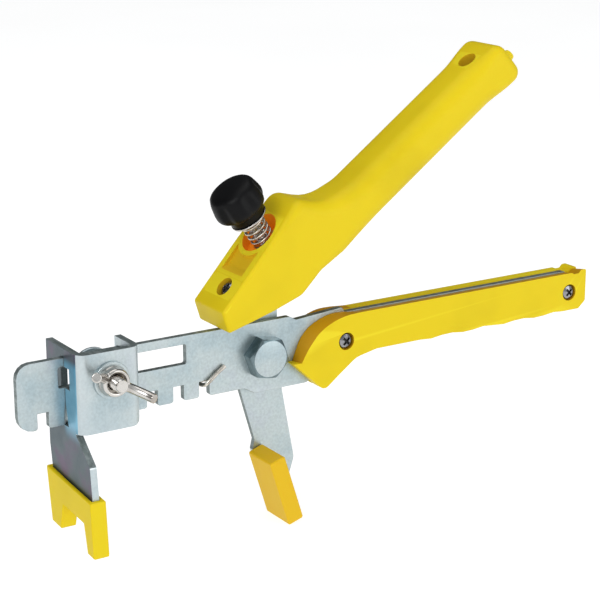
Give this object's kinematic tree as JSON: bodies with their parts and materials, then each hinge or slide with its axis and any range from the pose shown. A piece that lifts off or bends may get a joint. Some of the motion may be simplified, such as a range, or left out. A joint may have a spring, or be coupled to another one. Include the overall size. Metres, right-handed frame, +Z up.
{
  "type": "tile levelling pliers",
  "caption": "Squeeze pliers for tile levelling clips: toothed steel plate with a sliding fork jaw, spring-returned lever with a pushing foot, tension knob and moulded handles.",
  "frame": {"origin": "on the pivot axis, in the flat outer face of the pivot bolt's hexagon head", "axes": "+X along the toothed plate towards the handles, +Y along the pivot bolt from its head towards its nut, +Z up, with the fork jaw and foot pointing down"},
  "size_m": [0.2924, 0.0522, 0.2001],
  "materials": {
    "zinc_plated_steel": "blue-white zinc plating with mottled passivate and darker sheared edges",
    "nickel_plated_steel": "bright nickel plating",
    "spring_steel": "drawn wire, satin",
    "yellow_plastic": "warm yellow moulded plastic, satin",
    "black_plastic": "black moulded plastic, semi-gloss"
  },
  "bodies": {
    "frame": {"main_plate": "zinc_plated_steel", "lower_grip_near": "yellow_plastic", "lower_grip_far": "yellow_plastic", "lower_grip_screw_front": "nickel_plated_steel", "lower_grip_screw_rear": "nickel_plated_steel", "lower_grip_nut_front": "nickel_plated_steel", "lower_grip_nut_rear": "nickel_plated_steel", "pivot_bolt": "zinc_plated_steel", "pivot_bush": "zinc_plated_steel", "pivot_washer": "zinc_plated_steel", "pivot_nut": "zinc_plated_steel", "return_spring": "spring_steel"},
    "lever_arm": {"lever": "zinc_plated_steel", "foot_cap": "yellow_plastic", "upper_grip": "yellow_plastic", "upper_grip_screw_front": "nickel_plated_steel", "upper_grip_screw_rear": "nickel_plated_steel", "tension_nut": "nickel_plated_steel", "knob_spring": "spring_steel"},
    "knob_seat": {"knob_washer": "nickel_plated_steel"},
    "knob": {"tension_knob": "black_plastic", "tension_screw": "nickel_plated_steel"},
    "jaw": {"front_bracket": "zinc_plated_steel", "jaw_cap": "yellow_plastic", "clamp_bolt": "nickel_plated_steel", "clamp_washer": "zinc_plated_steel"},
    "clamp_seat": {"wing_washer": "zinc_plated_steel"},
    "clamp_nut": {"wing_nut": "nickel_plated_steel"}
  },
  "joints": [
    {"name": "lever_pivot", "type": "hinge", "parent": "frame", "child": "lever_arm", "pos_m": [0, 0, 0], "axis": [0, 1, 0], "range_deg": [0, 32], "stiffness_Nm_per_rad": 0.25, "springref_deg": -45.84, "deforming": ["return_spring"]},
    {"name": "jaw_slide", "type": "slide", "parent": "frame", "child": "jaw", "axis": [1, 0, 0], "range_m": [-0.01244, 0.02488]},
    {"name": "clamp_nut_travel", "type": "slide", "parent": "jaw", "child": "clamp_seat", "axis": [0, -1, 0], "range_m": [0, 0.002]},
    {"name": "clamp_nut_turn", "type": "hinge", "parent": "clamp_seat", "child": "clamp_nut", "pos_m": [-0.0795, 0, 0.0072], "axis": [0, -1, 0], "range_deg": [-1, 725]},
    {"name": "knob_travel", "type": "slide", "parent": "lever_arm", "child": "knob_seat", "axis": [0.5736, 0, -0.8192], "range_m": [0, 0.004], "deforming": ["knob_spring"]},
    {"name": "knob_turn", "type": "hinge", "parent": "knob_seat", "child": "knob", "pos_m": [-0.0046, 0.0091, 0.061], "axis": [0.5736, 0, -0.8192], "range_deg": [-1, 1445]}
  ],
  "couplings": [
    {"joint": "clamp_nut_turn", "follows": "clamp_nut_travel", "rad_per_m": 6283.2},
    {"joint": "knob_turn", "follows": "knob_travel", "rad_per_m": 6283.2}
  ]
}
